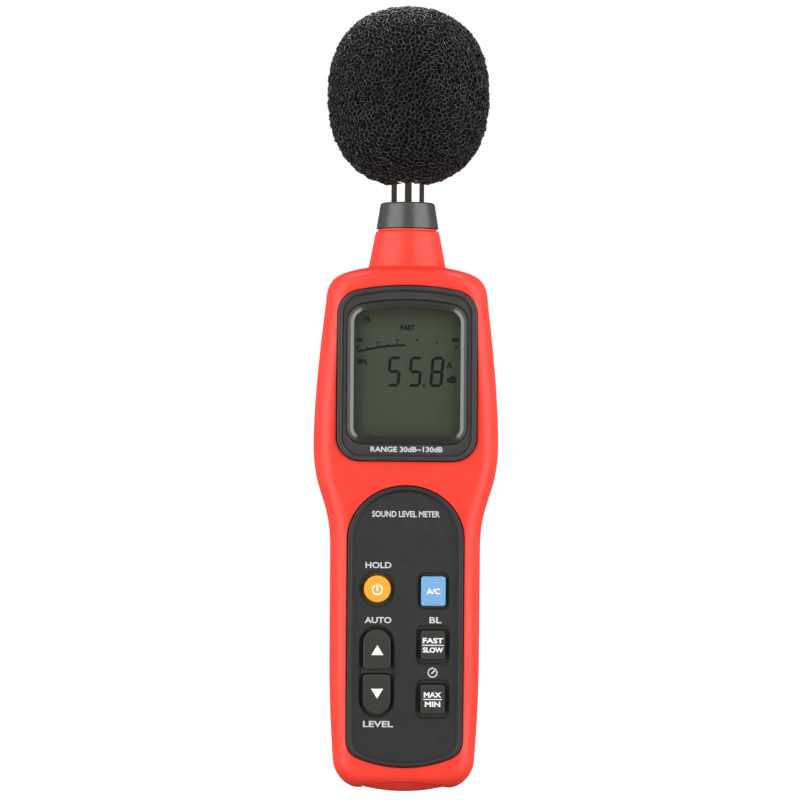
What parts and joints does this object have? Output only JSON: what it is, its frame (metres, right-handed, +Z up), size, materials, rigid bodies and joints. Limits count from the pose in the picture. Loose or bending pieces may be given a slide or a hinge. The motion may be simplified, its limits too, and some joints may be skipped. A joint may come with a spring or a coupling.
{
  "type": "sound level meter",
  "caption": "Handheld sound level meter with a two-part casing, display, rubber keys, microphone stem, foam windscreen, hinged battery cover and rear tripod socket.",
  "frame": {"origin": "centre of the tripod socket's mouth, in the rear face", "axes": "+Y out of the rear face, so the display looks along -Y; +Z up, from the handle to the microphone; +X to the right for someone reading the display"},
  "size_m": [0.0692, 0.062, 0.2945],
  "materials": {
    "casing_red": "fine satin moulding, bright red",
    "fascia_dark": "dark grey, very fine texture",
    "bezel_dark": "dark warm grey, satin",
    "collar_grey": "dark grey, satin",
    "clear_window": "clear polished acrylic with bevelled edges",
    "display_glass": "grey-green reflective display",
    "white_plastic": "plain white",
    "grey_silicone": "soft silicone",
    "key_orange": "soft silicone, orange",
    "key_blue": "soft silicone, light blue",
    "key_dark": "soft silicone, dark olive grey",
    "plated_steel": "nickel plated",
    "circuit_board": "green glass fibre laminate with solder mask",
    "black_plastic": "black moulding",
    "trimmer_blue": "blue moulding",
    "brass": "turned",
    "polished_chrome": "mirror polished",
    "open_cell_foam": "coarse open-cell polyurethane foam, black",
    "cell_sleeve": "printed plastic sleeve over a steel can"
  },
  "bodies": {
    "meter": {"front_casing": "casing_red", "rear_casing": "casing_red", "casing_screw_1": "plated_steel", "casing_screw_2": "plated_steel", "casing_screw_3": "plated_steel", "casing_screw_4": "plated_steel", "casing_screw_5": "plated_steel", "casing_screw_6": "plated_steel", "tripod_bush": "brass", "lcd_bezel": "bezel_dark", "lens_window": "clear_window", "lcd_glass": "display_glass", "lcd_backlight": "white_plastic", "lcd_frame": "white_plastic", "zebra_strip": "grey_silicone", "keypad_fascia": "fascia_dark", "keypad_membrane": "grey_silicone", "dome_sheet": "plated_steel", "main_board": "circuit_board", "processor_chip": "black_plastic", "board_screw_1": "plated_steel", "board_screw_2": "plated_steel", "board_screw_3": "plated_steel", "board_screw_4": "plated_steel", "output_jack": "black_plastic", "power_jack": "black_plastic", "trimmer_body": "trimmer_blue", "nose_collar": "collar_grey", "mic_tube": "polished_chrome", "insulator_ring": "black_plastic", "preamp_board": "circuit_board", "mic_capsule": "plated_steel", "mic_grid": "polished_chrome", "battery_cell_1": "cell_sleeve", "battery_cell_2": "cell_sleeve", "battery_cell_3": "cell_sleeve", "battery_cell_4": "cell_sleeve", "contact_bridge": "plated_steel", "contact_positive": "plated_steel", "contact_negative": "plated_steel"},
    "key_power": {"key_power": "key_orange"},
    "key_ac": {"key_ac": "key_blue"},
    "key_up": {"key_up": "key_dark"},
    "key_down": {"key_down": "key_dark"},
    "key_fast_slow": {"key_fast_slow": "key_dark"},
    "key_max_min": {"key_max_min": "key_dark"},
    "windscreen": {"foam_windscreen": "open_cell_foam"},
    "battery_cover": {"battery_cover": "casing_red"},
    "trimmer_rotor": {"trimmer_rotor": "brass"}
  },
  "joints": [
    {"name": "key_power_press", "type": "slide", "parent": "meter", "child": "key_power", "axis": [0, 1, 0], "range_m": [0, 0.0006], "stiffness_N_per_m": 300},
    {"name": "key_ac_press", "type": "slide", "parent": "meter", "child": "key_ac", "axis": [0, 1, 0], "range_m": [0, 0.0006], "stiffness_N_per_m": 300},
    {"name": "key_up_press", "type": "slide", "parent": "meter", "child": "key_up", "axis": [0, 1, 0], "range_m": [0, 0.0006], "stiffness_N_per_m": 300},
    {"name": "key_down_press", "type": "slide", "parent": "meter", "child": "key_down", "axis": [0, 1, 0], "range_m": [0, 0.0006], "stiffness_N_per_m": 300},
    {"name": "key_fast_slow_press", "type": "slide", "parent": "meter", "child": "key_fast_slow", "axis": [0, 1, 0], "range_m": [0, 0.0006], "stiffness_N_per_m": 300},
    {"name": "key_max_min_press", "type": "slide", "parent": "meter", "child": "key_max_min", "axis": [0, 1, 0], "range_m": [0, 0.0006], "stiffness_N_per_m": 300},
    {"name": "windscreen_slide", "type": "slide", "parent": "meter", "child": "windscreen", "axis": [0, 0, 1], "range_m": [0, 0.055]},
    {"name": "battery_cover_hinge", "type": "hinge", "parent": "meter", "child": "battery_cover", "pos_m": [0, 0, -0.01615], "axis": [1, 0, 0], "range_deg": [0, 65]},
    {"name": "trimmer_turn", "type": "hinge", "parent": "meter", "child": "trimmer_rotor", "pos_m": [0.027, -0.0241, 0.039], "axis": [1, 0, 0], "range_deg": [-135, 135]}
  ]
}
